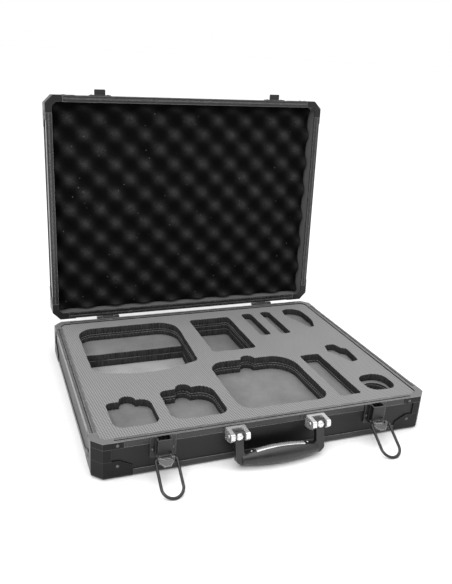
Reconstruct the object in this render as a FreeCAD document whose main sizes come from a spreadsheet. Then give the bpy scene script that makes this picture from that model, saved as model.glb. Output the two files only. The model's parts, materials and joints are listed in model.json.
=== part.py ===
import FreeCAD, Part
import math
import os
import re

import Sketcher
from FreeCAD import Placement, Rotation, Vector

# Hard-sided carrying case, shown open, in millimetres.
# X runs along the width, -Y is the front with the handle, +Z is up.
# The origin is the middle of the underside of the base.

DIMENSIONS = {
    # outer envelope
    "case_width": 460,
    "case_depth": 352,
    "base_height": 50,
    "lid_height": 38,
    "corner_cut": 12,
    "rim_gap": 0.4,
    # walls
    "board": 4,
    "board_inset": 1.6,
    "rim_inset": 0.8,
    "rim_band": 8.5,
    "rim_width": 10,
    "rim_web": 2.4,
    "rim_wall": 0.8,
    "seal_near": 4.0,
    "seal_far": 6.0,
    "seal_depth": 1.2,
    "seal_play": 0.25,
    "trim_inset": 0.5,
    "trim_band": 10,
    "trim_round": 4,
    # corner pieces
    "post_arm": 22,
    "post_wall": 1.5,
    "cap_arm": 37,
    "cap_top_arm": 26,
    "guard_arm": 48,
    "guard_top": 24.5,
    "guard_step": 15.5,
    "guard_slope": 16,
    "guard_wall": 1.5,
    "guard_round": 4.6,
    "running_fit": 0.05,
    # hinges
    "lid_angle": 93.6,
    "hinge_x": 140,
    "hinge_y": 178.7,
    "hinge_z": 49.7,
    "hinge_width": 37,
    "hinge_leaf": 21,
    "leaf_wall": 1.5,
    "barrel_radius": 2.8,
    "hinge_pin_radius": 1.2,
    "knuckle_half": 9.2,
    "knuckle_gap": 0.3,
    "leaf_relief": 3.3,
    # latches
    "latch_x": 146.3,
    "latch_flange": 16,
    "latch_half": 9,
    "latch_wall": 1.5,
    "latch_proud": 9.4,
    "latch_foot": 23,
    "latch_open": 31,
    "flange_proud": 0.9,
    "ear_back": 4,
    "ear_below": 3.2,
    "lever_out": 6.5,
    "lever_up": 28,
    "lever_pin_radius": 1.2,
    "lever_knuckle": 2.4,
    "lever_half": 9.4,
    "lever_thick": 1.4,
    "lever_reach": 16.5,
    "lever_bend": 8,
    "lever_bend_drop": 1.6,
    "lever_tip_drop": 5.4,
    "lever_curve": 14,
    "knuckle_width": 14,
    "lug_width": 2.2,
    "lug_wall": 1.1,
    "bail_out": 14.3,
        "bail_wire": 1.8,
    "bail_half": 13.1,
    "bail_leg": 33.5,
    "bail_bend": 3,
    "bail_tilt": 56,
    "catch_half": 8.5,
    "catch_reach": 9.2,
    "catch_height": 10.4,
    "catch_wall": 1.5,
    "catch_flange_top": 17,
    # handle
    "grip_x": 55,
    "bracket_half": 12.5,
    "ear_wall": 5.4,
    "bracket_top": 48.4,
    "bracket_foot": 33,
    "bracket_reach": 20,
    "hub_out": 11,
    "hub_up": 42.5,
    "hub_radius": 5,
    "hub_half": 6.6,
    "handle_pin_radius": 2,
    "arm_half": 5.2,
    "arm_wall": 6,
    "arm_length": 31,
    "grip_end_radius": 6,
    "grip_mid_radius": 11.5,
    "handle_tilt": 16,
    # foam
    "foam_floor": 5,
    "foam_sheet": 11,
    "foam_inset": 10.4,
    "foam_inset_low": 6.3,
    "lid_foam_top": 27,
    "lining": 1,
}

doc = FreeCAD.newDocument("carrying_case")
sheet = doc.addObject("Spreadsheet::Sheet", "dims")
for row, (alias, size) in enumerate(DIMENSIONS.items(), start=1):
    sheet.set(f"A{row}", alias)
    sheet.set(f"B{row}", str(size))
    sheet.setAlias(f"B{row}", alias)
doc.recompute()

PIECES = []
TOLERANCE = 0.001


def expression(value):
    """The text that binds a size to the sheet: a name such as case_width becomes dims.case_width."""
    return re.sub(r"[a-z]\w*", lambda word: "dims." + word.group(), str(value))


def number(value):
    """The present value of a size, in millimetres or degrees."""
    if isinstance(value, (int, float)):
        return float(value)
    found = sheet.evalExpression(expression(value))
    return float(getattr(found, "Value", found))


def bind(thing, field, value):
    """Binds one size of an object to the sheet."""
    thing.setExpression(field, expression(value))


def keep(piece, label, placement=None):
    """Names a finished sub-part, places it and puts it on the list to be written."""
    piece.Label = label
    if placement is not None:
        piece.Placement = placement
    PIECES.append(piece)


# ---------------------------------------------------------------- sketches and features


def new_body(name):
    """An empty Body for one piece."""
    return doc.addObject("PartDesign::Body", name)


def new_sketch(body, name, plane, offset=0):
    """A sketch on one of the body's own origin planes, moved along the plane's normal."""
    sketch = body.newObject("Sketcher::SketchObject", name)
    origin = next(f for f in body.Origin.OriginFeatures if f.Role == plane)
    sketch.AttachmentSupport = (origin, [""])
    sketch.MapMode = "FlatFace"
    bind(sketch, ".AttachmentOffset.Base.z", offset)
    return sketch


def fix_point(sketch, geometry, point, place):
    """Holds a point of the sketch at a place given by two sizes."""
    for kind, axis, size in (("DistanceX", -2, place[0]), ("DistanceY", -1, place[1])):
        if number(size) == 0:
            sketch.addConstraint(Sketcher.Constraint("PointOnObject", geometry, point, axis))
            continue
        held = Sketcher.Constraint(kind, -1, 1, geometry, point, number(size))
        index = sketch.addConstraint(held)
        if isinstance(size, str):
            sketch.setExpression(f"Constraints[{index}]", expression(size))


def draw_outline(sketch, corners):
    """A closed outline. Each corner is (x, y), or (x, y, radius) where it is rounded."""
    flat = [Vector(number(c[0]), number(c[1]), 0) for c in corners]
    count = len(corners)
    trimmed = []
    for i, corner in enumerate(corners):
        here = flat[i]
        before = (flat[i - 1] - here).normalize()
        after = (flat[(i + 1) % count] - here).normalize()
        if len(corner) == 2:
            trimmed.append((here, here, None))
            continue
        radius = number(corner[2])
        half = before.getAngle(after) / 2
        reach = radius / math.tan(half)
        middle = (before + after).normalize() * (radius / math.sin(half))
        trimmed.append((here + before * reach, here + after * reach, here + middle))
    lines = []
    for i in range(count):
        start = trimmed[i][1]
        end = trimmed[(i + 1) % count][0]
        lines.append(sketch.addGeometry(Part.LineSegment(start, end), False))
    for i, corner in enumerate(corners):
        enter, leave, centre = trimmed[i]
        line_in = lines[i - 1]
        line_out = lines[i]
        if centre is None:
            sketch.addConstraint(Sketcher.Constraint("Coincident", line_in, 2, line_out, 1))
            fix_point(sketch, line_out, 1, corner)
            continue
        apex = sketch.addGeometry(Part.Point(flat[i]), True)
        fix_point(sketch, apex, 1, corner)
        a = enter - centre
        b = leave - centre
        turns_left = a.cross(b).z > 0
        first, last = (a, b) if turns_left else (b, a)
        circle = Part.Circle(centre, Vector(0, 0, 1), a.Length)
        angles = [math.atan2(v.y, v.x) for v in (first, last)]
        if angles[1] < angles[0]:
            angles[1] += 2 * math.pi
        arc = sketch.addGeometry(Part.ArcOfCircle(circle, *angles), False)
        near, far = (1, 2) if turns_left else (2, 1)
        sketch.addConstraint([
            Sketcher.Constraint("Tangent", line_in, 2, arc, near),
            Sketcher.Constraint("Tangent", arc, far, line_out, 1),
            Sketcher.Constraint("PointOnObject", apex, 1, line_in),
            Sketcher.Constraint("PointOnObject", apex, 1, line_out),
        ])
        index = sketch.addConstraint(Sketcher.Constraint("Radius", arc, a.Length))
        if isinstance(corner[2], str):
            sketch.setExpression(f"Constraints[{index}]", expression(corner[2]))


def draw_circle(sketch, x, y, radius):
    """A circle with its centre at (x, y)."""
    centre = Vector(number(x), number(y), 0)
    index = sketch.addGeometry(Part.Circle(centre, Vector(0, 0, 1), number(radius)), False)
    fix_point(sketch, index, 3, (x, y))
    held = sketch.addConstraint(Sketcher.Constraint("Radius", index, number(radius)))
    if isinstance(radius, str):
        sketch.setExpression(f"Constraints[{held}]", expression(radius))


def add_pad(body, name, plane, offset, corners, length, symmetric=False):
    """Pads an outline from a plane of the body."""
    sketch = new_sketch(body, name + "_outline", plane, offset)
    draw_outline(sketch, corners)
    pad = body.newObject("PartDesign::Pad", name)
    pad.Profile = sketch
    pad.Midplane = symmetric
    bind(pad, "Length", length)


def add_disc(body, name, plane, offset, x, y, radius, length, symmetric=False):
    """Pads a circle from a plane of the body."""
    sketch = new_sketch(body, name + "_circle", plane, offset)
    draw_circle(sketch, x, y, radius)
    pad = body.newObject("PartDesign::Pad", name)
    pad.Profile = sketch
    pad.Midplane = symmetric
    bind(pad, "Length", length)


def cut(body, name, sketch, length, symmetric=False, flipped=False):
    """Pockets a sketch and checks that it took material away."""
    doc.recompute()
    before = body.Shape.Volume
    pocket = body.newObject("PartDesign::Pocket", name)
    pocket.Profile = sketch
    pocket.Midplane = symmetric
    pocket.Reversed = flipped
    bind(pocket, "Length", length)
    doc.recompute()
    if not body.Shape.Volume < before - 0.01:
        raise RuntimeError(f"{body.Name}: {name} cuts nothing")


def cut_outline(body, name, plane, offset, corners, length, symmetric=False, flipped=False):
    """Pockets an outline from a plane of the body."""
    sketch = new_sketch(body, name + "_outline", plane, offset)
    draw_outline(sketch, corners)
    cut(body, name, sketch, length, symmetric, flipped)


def cut_circle(body, name, plane, offset, x, y, radius, length, symmetric=False):
    """Pockets a circle from a plane of the body."""
    sketch = new_sketch(body, name + "_circle", plane, offset)
    draw_circle(sketch, x, y, radius)
    cut(body, name, sketch, length, symmetric)


def mirror(source, name, normal):
    """A mirror image in the plane through the origin with this normal."""
    copy = doc.addObject("Part::Mirroring", name)
    copy.Source = source
    copy.Normal = Vector(*normal)
    return copy


def group(links, label, placement=None):
    """Several separate solids that share one node."""
    made = doc.addObject("Part::Compound", label)
    made.Links = links
    keep(made, label, placement)


# ---------------------------------------------------------------- frames


def turned(angle):
    """A turn about the upright axis, which brings a front wall round to another side."""
    return Placement(Vector(), Rotation(Vector(0, 0, 1), angle))


def closed_lid():
    """The lid's own frame, with its outside at z = 0, turned over onto the closed base."""
    height = number("base_height + rim_gap + lid_height")
    return Placement(Vector(0, 0, height), Rotation(Vector(1, 0, 0), 180))


def about_hinge(angle):
    """A turn about the hinge axis, positive where it closes the lid."""
    axis = Vector(0, number("hinge_y"), number("hinge_z"))
    return Placement(Vector(), Rotation(Vector(1, 0, 0), angle), axis)


BASE = Placement()
OPEN = about_hinge(-number("lid_angle"))
LID = OPEN * closed_lid()

# ---------------------------------------------------------------- shell of the base and of the lid


# A wall moved inwards by one millimetre meets the slanting corner cut this much sooner.
CUT_SHORTENS = 2 - math.sqrt(2)
CUT_STEPS_IN = math.sqrt(2) - 1


def octagon(inset):
    """The plan of the case, with its four corners cut off, moved inwards by inset."""
    x = f"(case_width / 2 - ({inset}))"
    y = f"(case_depth / 2 - ({inset}))"
    c = f"(corner_cut - ({inset}) * {CUT_SHORTENS:.4f})"
    return [
        (f"{x} - {c}", f"-{y}"),
        (x, f"-{y} + {c}"),
        (x, f"{y} - {c}"),
        (f"{x} - {c}", y),
        (f"-{x} + {c}", y),
        (f"-{x}", f"{y} - {c}"),
        (f"-{x}", f"-{y} + {c}"),
        (f"-{x} + {c}", f"-{y}"),
    ]


def corner_ends(inset):
    """Where the front wall and the right wall meet the cut corner, moved inwards by inset."""
    step = f"corner_cut + {CUT_STEPS_IN:.4f} * ({inset})"
    x = f"case_width / 2 - ({inset})"
    y = f"case_depth / 2 - ({inset})"
    return [
        (f"case_width / 2 - ({step})", f"-({y})"),
        (x, f"-(case_depth / 2 - ({step}))"),
    ]


def corner_strip(arm, inset, wall):
    """The plan of a strip of even thickness round the front right corner, with two equal arms."""
    outer = inset
    inner = f"{inset} + {wall}"
    x_arm = f"case_width / 2 - {arm}"
    y_arm = f"-(case_depth / 2 - {arm})"
    return [
        (x_arm, f"-(case_depth / 2 - ({outer}))"),
        *corner_ends(outer),
        (f"case_width / 2 - ({outer})", y_arm),
        (f"case_width / 2 - ({inner})", y_arm),
        *reversed(corner_ends(inner)),
        (x_arm, f"-(case_depth / 2 - ({inner}))"),
    ]


def in_from(half, profile):
    """Turns a front wall's section from (distance inwards, height) to sketch points."""
    return [(f"-({half}) + {p[0]}", *p[1:]) for p in profile]


def rim_section(half, height, seal):
    """A rim extrusion: a channel over the board, with a groove or a tongue along its top."""
    top = height
    low = f"{height} - rim_band"
    web = f"{height} - rim_web"
    near = "seal_near"
    far = "seal_far"
    mark = f"{height} - seal_depth"
    if seal == "tongue":
        near = "seal_near + seal_play"
        far = "seal_far - seal_play"
        mark = f"{height} + seal_depth - seal_play"
    return in_from(half, [
        ("rim_inset", low),
        ("rim_inset", top),
        (near, top),
        (near, mark),
        (far, mark),
        (far, top),
        ("rim_width", top),
        ("rim_width", f"{height} - rim_web - rim_wall"),
        ("board_inset + board + rim_wall * 2", f"{height} - rim_web - rim_wall"),
        ("board_inset + board + rim_wall * 2", low),
        ("board_inset + board", low),
        ("board_inset + board", web),
        ("board_inset", web),
        ("board_inset", low),
    ])


def trim_section(half):
    """An edge extrusion that wraps the bottom edge of the board, rounded on the outside."""
    return in_from(half, [
        ("trim_inset", "trim_band"),
        ("trim_inset", 0, "trim_round"),
        ("board_inset + board", 0),
        ("board_inset + board", "board"),
        ("board_inset", "board"),
        ("board_inset", "trim_band"),
    ])


SIDES = {
    "front": (0, "case_width", "case_depth"),
    "right": (90, "case_depth", "case_width"),
    "back": (180, "case_width", "case_depth"),
    "left": (270, "case_depth", "case_width"),
}


def make_boards(shell, height, frame):
    """The flat floor or top board and the four side boards."""
    body = new_body(f"{shell}_board")
    add_pad(body, "plate", "XY_Plane", 0, octagon("board_inset + board"), "board")
    keep(body, f"{shell}_{'floor' if shell == 'base' else 'top'}_board", frame)
    for side, (angle, along, across) in SIDES.items():
        body = new_body(f"{shell}_{side}")
        half = f"{across} / 2"
        section = in_from(half, [
            ("board_inset", "board"),
            ("board_inset + board", "board"),
            ("board_inset + board", f"{height} - rim_web"),
            ("board_inset", f"{height} - rim_web"),
        ])
        length = f"{along} - 2 * corner_cut - board"
        add_pad(body, "board", "YZ_Plane", 0, section, length, symmetric=True)
        keep(body, f"{shell}_{side}_board", frame * turned(angle))


def make_rims(shell, height, seal, frame):
    """The four rim extrusions between the corner caps. The lid's tongues stay clear of the base's caps."""
    end_gap = "seal_play" if seal == "tongue" else "0"
    for side, (angle, along, across) in SIDES.items():
        body = new_body(f"{shell}_{side}_rim")
        section = rim_section(f"{across} / 2", height, seal)
        length = f"{along} - 2 * (cap_top_arm + {end_gap})"
        add_pad(body, "rim", "YZ_Plane", 0, section, length, symmetric=True)
        keep(body, f"{shell}_{side}_rim", frame * turned(angle))


def make_trims(shell, frame):
    """The four edge extrusions between the corner guards."""
    lengths = []
    for side, (angle, along, across) in SIDES.items():
        body = new_body(f"{shell}_{side}_trim")
        length = f"{along} - 2 * guard_arm"
        add_pad(body, "trim", "YZ_Plane", 0, trim_section(f"{across} / 2"), length, symmetric=True)
        body.Placement = turned(angle)
        lengths.append(body)
    group(lengths, f"{shell}_edge_trims", frame)


def four_corners(corner, label, frame):
    """The corner piece and its mirror images at the other three corners."""
    across = mirror(corner, f"{label}_across", (1, 0, 0))
    behind = mirror(corner, f"{label}_behind", (0, 1, 0))
    opposite = mirror(across, f"{label}_opposite", (0, 1, 0))
    group([corner, across, behind, opposite], label, frame)


def make_corner_posts(shell, height, frame):
    """Upright angles that close the four cut corners between the guards and the caps."""
    body = new_body(f"{shell}_post")
    plan = corner_strip("post_arm", 0, "post_wall")
    length = f"{height} - rim_band - guard_top"
    add_pad(body, "angle", "XY_Plane", "guard_top", plan, length)
    four_corners(body, f"{shell}_corner_posts", frame)


def make_rim_caps(shell, height, frame):
    """Cast caps that join the rim extrusions at the corners."""
    body = new_body(f"{shell}_cap")
    top = corner_strip("cap_top_arm", 0, "rim_width")
    add_pad(body, "top", "XY_Plane", f"{height} - rim_web", top, "rim_web")
    skirt = corner_strip("cap_arm", 0, "rim_inset")
    add_pad(body, "skirt", "XY_Plane", f"{height} - rim_band", skirt, "rim_band")
    four_corners(body, f"{shell}_rim_caps", frame)


def make_corner_guards(shell, frame):
    """Pressed guards round the outer corners, with a sloped upper edge and a rounded foot."""
    body = new_body(f"{shell}_guard")
    wall = corner_strip("guard_arm", 0, "guard_wall")
    add_pad(body, "wall", "XY_Plane", 0, wall, "guard_top")
    sole = corner_strip("guard_arm", 0, "board_inset + board")
    add_pad(body, "sole", "XY_Plane", 0, sole, "board")
    doc.recompute()
    low = [f"Edge{i}" for i, edge in enumerate(body.Shape.Edges, start=1) if is_outer_low_edge(edge)]
    foot = body.Tip
    rounding = body.newObject("PartDesign::Fillet", "rounding")
    rounding.Base = (foot, low)
    bind(rounding, "Radius", "guard_round")
    for name, plane, sign, far in (
        ("front_slope", "XZ_Plane", "", "case_width / 2"),
        ("side_slope", "YZ_Plane", "-", "case_depth / 2"),
    ):
        end = f"{sign}({far} - guard_arm - 1)"
        slope = [
            (end, "guard_step"),
            (f"{sign}({far} - guard_arm)", "guard_step"),
            (f"{sign}({far} - guard_arm + guard_slope)", "guard_top"),
            (f"{sign}({far} - guard_arm + guard_slope)", "guard_top + 1"),
            (end, "guard_top + 1"),
        ]
        cut_outline(body, name, plane, 0, slope, "case_width + case_depth", symmetric=True)
    four_corners(body, f"{shell}_corner_guards", frame)


def is_outer_low_edge(edge):
    """True for the outside edges where a guard meets the ground."""
    middle = edge.CenterOfMass
    in_x = number("case_width / 2") - middle.x
    in_y = number("case_depth / 2") + middle.y
    flat = edge.BoundBox.ZLength < TOLERANCE and abs(middle.z) < TOLERANCE
    outside = min(abs(in_x), abs(in_y), abs(in_x + in_y - number("corner_cut"))) < TOLERANCE
    return flat and outside and edge.Length > number("guard_wall") * 2


def make_shell(shell, height, seal, frame):
    """Every piece of one shell but its rivets, with its outside on z = 0."""
    make_boards(shell, height, frame)
    make_rims(shell, height, seal, frame)
    make_trims(shell, frame)
    make_corner_posts(shell, height, frame)
    make_rim_caps(shell, height, frame)
    make_corner_guards(shell, frame)


# ---------------------------------------------------------------- rivets


RIVET_CUT = 40
RIVET_RADIUS = 2.6
SMALL_RIVET_RADIUS = 2.2
RIVET_LINE = 29.5
CAP_RIVET_DROP = 4.6
GUARD_RIVET_HEIGHT = 17.5


def rivet(name, place, facing, radius=RIVET_RADIUS):
    """A domed rivet head, standing on a wall that faces along the given direction."""
    head = doc.addObject("Part::Sphere", name)
    head.Radius = radius
    head.Angle1 = RIVET_CUT
    low = radius * math.sin(math.radians(RIVET_CUT))
    turn = Rotation(Vector(0, 0, 1), Vector(*facing))
    head.Placement = Placement(Vector(*place), turn) * Placement(Vector(0, 0, -low), Rotation())
    return head


def corner_rivets(shell, height):
    """Two rivets on each cap and two on each guard, in the shell's own frame."""
    heads = []
    x = number("case_width") / 2
    y = number("case_depth") / 2
    for i, (sx, sy) in enumerate(((1, -1), (1, 1), (-1, 1), (-1, -1))):
        for j, level in enumerate((height - CAP_RIVET_DROP, GUARD_RIVET_HEIGHT)):
            name = f"{shell}_rivet_{i}{j}"
            heads.append(rivet(name + "f", (sx * (x - RIVET_LINE), sy * y, level), (0, sy, 0)))
            heads.append(rivet(name + "s", (sx * x, sy * (y - RIVET_LINE), level), (sx, 0, 0)))
    return heads


# ---------------------------------------------------------------- hinges

HINGE_SIDES = {"left": "-hinge_x", "right": "hinge_x"}


def hinge_leaf(name, label, x, upper, frame):
    """One hinge leaf on the back wall. The upper leaf has the middle knuckle, the lower the outer two."""
    sign = "+" if upper else "-"
    body = new_body(name)
    near = "case_depth / 2 - rim_inset"
    half = "hinge_width / 2"
    add_pad(body, "leaf", "XZ_Plane", f"-({near} + leaf_wall)", [
        (f"{x} - {half}", f"hinge_z {sign} leaf_relief"),
        (f"{x} + {half}", f"hinge_z {sign} leaf_relief"),
        (f"{x} + {half}", f"hinge_z {sign} hinge_leaf", 2),
        (f"{x} - {half}", f"hinge_z {sign} hinge_leaf", 2),
    ], "leaf_wall")
    if upper:
        spans = [("knuckle", f"{x} - knuckle_half", "knuckle_half * 2")]
        edge = "base_height + rim_gap"
    else:
        outer = f"{half} - knuckle_half - knuckle_gap"
        spans = [
            ("left_knuckle", f"{x} - {half}", outer),
            ("right_knuckle", f"{x} + knuckle_half + knuckle_gap", outer),
        ]
        edge = "hinge_z"
    for part, start, width in spans:
        add_pad(body, f"{part}_neck", "YZ_Plane", start, [
            (near, edge),
            (f"{near} + leaf_wall", edge),
            (f"{near} + leaf_wall", f"hinge_z {sign} leaf_relief {sign} 1"),
            (near, f"hinge_z {sign} leaf_relief {sign} 1"),
        ], width)
        add_disc(body, part, "YZ_Plane", start, "hinge_y", "hinge_z", "barrel_radius", width)
    bore = "hinge_pin_radius + running_fit" if upper else "hinge_pin_radius"
    cut_circle(body, "bore", "YZ_Plane", x, "hinge_y", "hinge_z", bore, "hinge_width * 2", True)
    keep(body, label, frame)


def make_hinges():
    """Two hinges, each with a leaf on either shell and a pin through their knuckles."""
    for side, x in HINGE_SIDES.items():
        hinge_leaf(f"{side}_lower_leaf", f"hinge_leaf_base_{side}", x, False, BASE)
        hinge_leaf(f"{side}_upper_leaf", f"hinge_leaf_lid_{side}", x, True, OPEN)
        body = new_body(f"{side}_hinge_pin")
        add_disc(body, "pin", "YZ_Plane", x, "hinge_y", "hinge_z", "hinge_pin_radius",
                 "hinge_width + 1", symmetric=True)
        keep(body, f"hinge_pin_{side}")


LEAF_RIVET_STEP = 12
LEAF_RIVET_LEVEL = 13


def leaf_rivets(upper):
    """Three rivets on each leaf of one shell."""
    y = number("case_depth / 2 - rim_inset + leaf_wall")
    level = number("hinge_z") + (LEAF_RIVET_LEVEL if upper else -LEAF_RIVET_LEVEL)
    heads = []
    for side, x in HINGE_SIDES.items():
        for i in (-1, 0, 1):
            name = f"{'lid' if upper else 'base'}_{side}_leaf_rivet_{i + 1}"
            place = (number(x) + i * LEAF_RIVET_STEP, y, level)
            heads.append(rivet(name, place, (0, 1, 0), SMALL_RIVET_RADIUS))
    return heads


# ---------------------------------------------------------------- latches

LATCH_SIDES = {"left": "-latch_x", "right": "latch_x"}
FRONT = "-(case_depth / 2)"


def make_latch_plate(side, x):
    """A pressed plate with a raised bridge in the middle and two ears that hold the lever's pin."""
    body = new_body(f"{side}_latch_plate")
    inner = "latch_half - latch_wall"
    plan = [
        ("latch_flange", "-rim_inset"),
        ("latch_flange", "flange_proud"),
        ("latch_half", "flange_proud"),
        ("latch_half", "latch_proud", 1.2),
        ("-latch_half", "latch_proud", 1.2),
        ("-latch_half", "flange_proud"),
        ("-latch_flange", "flange_proud"),
        ("-latch_flange", "-rim_inset"),
        (f"-({inner})", "-rim_inset"),
        (f"-({inner})", "latch_proud - latch_wall"),
        (inner, "latch_proud - latch_wall"),
        (inner, "-rim_inset"),
    ]
    corners = [(f"{x} + {c[0]}", f"{FRONT} - ({c[1]})", *c[2:]) for c in plan]
    add_pad(body, "hat", "XY_Plane", "latch_foot", corners, "base_height - latch_foot")
    opening = [
        (f"{x} - ({inner})", "latch_foot - 1"),
        (f"{x} + ({inner})", "latch_foot - 1"),
        (f"{x} + ({inner})", "latch_open"),
        (f"{x} - ({inner})", "latch_open"),
    ]
    near = "case_depth / 2 + flange_proud"
    cut_outline(body, "mouth", "XZ_Plane", near, opening, "latch_proud * 2", flipped=True)
    ear = [
        (f"{FRONT} - lever_out - ear_back", "latch_foot - 1"),
        (f"{FRONT} - flange_proud", "latch_foot - 1"),
        (f"{FRONT} - flange_proud", "latch_foot"),
        (f"{FRONT} - lever_out - 1", "lever_up - ear_below"),
        (f"{FRONT} - lever_out - ear_back", "lever_up - ear_below"),
    ]
    cut_outline(body, "ear_edge", "YZ_Plane", x, ear, "latch_half * 2 + 1", symmetric=True)
    cut_circle(body, "pin_bore", "YZ_Plane", x, f"{FRONT} - lever_out", "lever_up",
               "lever_pin_radius", "latch_half * 2 + 1", symmetric=True)
    keep(body, f"latch_plate_{side}")
    pin = new_body(f"{side}_lever_pin")
    add_disc(pin, "pin", "YZ_Plane", x, f"{FRONT} - lever_out", "lever_up", "lever_pin_radius",
             "latch_half * 2 + 0.8", symmetric=True)
    keep(pin, f"lever_pin_{side}")


def make_lever(side, x):
    """A thumb lever: a curved tab on a knuckle, with two lugs that carry the wire bail."""
    body = new_body(f"{side}_lever")
    out = f"{FRONT} - lever_out"
    strip = [
        (out, "lever_up + lever_thick / 2"),
        (out, "lever_up - lever_thick / 2"),
        (f"{out} - lever_bend", "lever_up - lever_bend_drop", "lever_curve"),
        (f"{out} - lever_reach", "lever_up - lever_tip_drop"),
        (f"{out} - lever_reach", "lever_up - lever_tip_drop + lever_thick"),
        (f"{out} - lever_bend", "lever_up - lever_bend_drop + lever_thick", "lever_curve"),
    ]
    add_pad(body, "tab", "YZ_Plane", x, strip, "lever_half * 2", symmetric=True)
    for name, sign in (("left_edge", "-"), ("right_edge", "+")):
        edge = [
            (f"{x} {sign} knuckle_width / 2", f"{out} + lever_knuckle"),
            (f"{x} {sign} knuckle_width / 2", f"{out} - 4.9"),
            (f"{x} {sign} lever_half", f"{out} - 4.9"),
            (f"{x} {sign} lever_half", f"{out} - 11", 4),
            (f"{x} {sign} 3.5", f"{out} - lever_reach - 0.1", 6),
            (f"{x} {sign} 3.5", f"{out} - lever_reach - 1.5"),
            (f"{x} {sign} 12", f"{out} - lever_reach - 1.5"),
            (f"{x} {sign} 12", f"{out} + lever_knuckle"),
        ]
        cut_outline(body, name, "XY_Plane", "lever_up", edge, "lever_reach * 2", symmetric=True)
    add_disc(body, "knuckle", "YZ_Plane", x, out, "lever_up", "lever_knuckle", "knuckle_width",
             symmetric=True)
    pivot = f"{FRONT} - bail_out"
    for name, start in (("left_lug", f"{x} - lever_half"), ("right_lug", f"{x} + lever_half - lug_width")):
        add_disc(body, name, "YZ_Plane", start, pivot, "lever_up", "bail_wire + lug_wall", "lug_width")
    for name, y, radius in (("pin_bore", out, "lever_pin_radius"), ("bail_bore", pivot, "bail_wire")):
        bore = f"{radius} + running_fit"
        cut_circle(body, name, "YZ_Plane", x, y, "lever_up", bore, "lever_half * 3", symmetric=True)
    keep(body, f"latch_lever_{side}")


def make_bail(side, x):
    """A wire loop with its two ends turned in through the lever's lugs."""
    body = new_body(f"{side}_bail")
    path = new_sketch(body, "path", "XZ_Plane")
    half = number("bail_half")
    bend = number("bail_bend")
    leg = number("bail_leg")
    end = number("lever_half") - 2
    upright = Vector(0, 0, 1)
    right_bend = Part.Circle(Vector(half - bend, -bend, 0), upright, bend)
    left_bend = Part.Circle(Vector(bend - half, -bend, 0), upright, bend)
    foot = Part.Circle(Vector(0, -leg, 0), upright, half)
    lines = [
        Part.LineSegment(Vector(end, 0, 0), Vector(half - bend, 0, 0)),
        Part.ArcOfCircle(right_bend, 0, math.pi / 2),
        Part.LineSegment(Vector(half, -bend, 0), Vector(half, -leg, 0)),
        Part.ArcOfCircle(foot, math.pi, 2 * math.pi),
        Part.LineSegment(Vector(-half, -leg, 0), Vector(-half, -bend, 0)),
        Part.ArcOfCircle(left_bend, math.pi / 2, math.pi),
        Part.LineSegment(Vector(bend - half, 0, 0), Vector(-end, 0, 0)),
    ]
    for line in lines:
        path.addGeometry(line, False)
    joints = [(0, 2, 1, 2), (1, 1, 2, 1), (2, 2, 3, 2), (3, 1, 4, 1), (4, 2, 5, 2), (5, 1, 6, 1)]
    for first, a, second, b in joints:
        path.addConstraint(Sketcher.Constraint("Tangent", first, a, second, b))
    fix_point(path, 0, 1, ("lever_half - 2", 0))
    fix_point(path, 6, 2, ("-(lever_half - 2)", 0))
    fix_point(path, 3, 3, (0, "-bail_leg"))
    for index, size in ((3, "bail_half"), (1, "bail_bend"), (5, "bail_bend")):
        held = path.addConstraint(Sketcher.Constraint("Radius", index, number(size)))
        path.setExpression(f"Constraints[{held}]", expression(size))
    section = new_sketch(body, "section", "YZ_Plane", "lever_half - 2")
    draw_circle(section, 0, 0, "bail_wire")
    doc.recompute()
    pipe = body.newObject("PartDesign::AdditivePipe", "wire")
    pipe.Profile = section
    pipe.Spine = path
    pivot = Vector(number(x), number(f"{FRONT} - bail_out"), number("lever_up"))
    tilt = Rotation(Vector(1, 0, 0), -number("bail_tilt"))
    keep(body, f"latch_bail_{side}", Placement(pivot, tilt))


def make_catch(side, x):
    """The hook plate on the lid that the bail passes over."""
    body = new_body(f"{side}_catch")
    low = "base_height + rim_gap + 2"
    plate = [
        (f"{x} - latch_flange", low, 1),
        (f"{x} + latch_flange", low, 1),
        (f"{x} + latch_flange", f"{low} + catch_flange_top", 4),
        (f"{x} - latch_flange", f"{low} + catch_flange_top", 4),
    ]
    add_pad(body, "flange", "XZ_Plane", "case_depth / 2 - rim_inset", plate, "rim_inset + flange_proud")
    level = "base_height + rim_gap + catch_height"
    tab = [
        (f"{x} - catch_half", f"{FRONT} - flange_proud + 0.5"),
        (f"{x} - catch_half", f"{FRONT} - catch_reach", 1.5),
        (f"{x} + catch_half", f"{FRONT} - catch_reach", 1.5),
        (f"{x} + catch_half", f"{FRONT} - flange_proud + 0.5"),
    ]
    add_pad(body, "tab", "XY_Plane", f"{level} - catch_wall", tab, "catch_wall")
    keep(body, f"lid_catch_{side}", OPEN)


PLATE_RIVET_SIDE = 12.6
PLATE_RIVET_HEIGHT = 33.5
CATCH_RIVET_RISE = 10


def plate_rivets(upper):
    """Two rivets on each latch plate, or on each catch."""
    y = number(f"{FRONT} - flange_proud")
    level = number("base_height + rim_gap") + CATCH_RIVET_RISE if upper else PLATE_RIVET_HEIGHT
    heads = []
    for side, x in LATCH_SIDES.items():
        for i in (-1, 1):
            name = f"{'catch' if upper else 'plate'}_{side}_rivet_{i + 1}"
            place = (number(x) + i * PLATE_RIVET_SIDE, y, level)
            heads.append(rivet(name, place, (0, -1, 0), SMALL_RIVET_RADIUS))
    return heads


def make_latches():
    """Two draw latches on the front wall, with their catches on the lid."""
    for side, x in LATCH_SIDES.items():
        make_latch_plate(side, x)
        make_lever(side, x)
        make_bail(side, x)
        make_catch(side, x)


# ---------------------------------------------------------------- carrying handle

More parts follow.
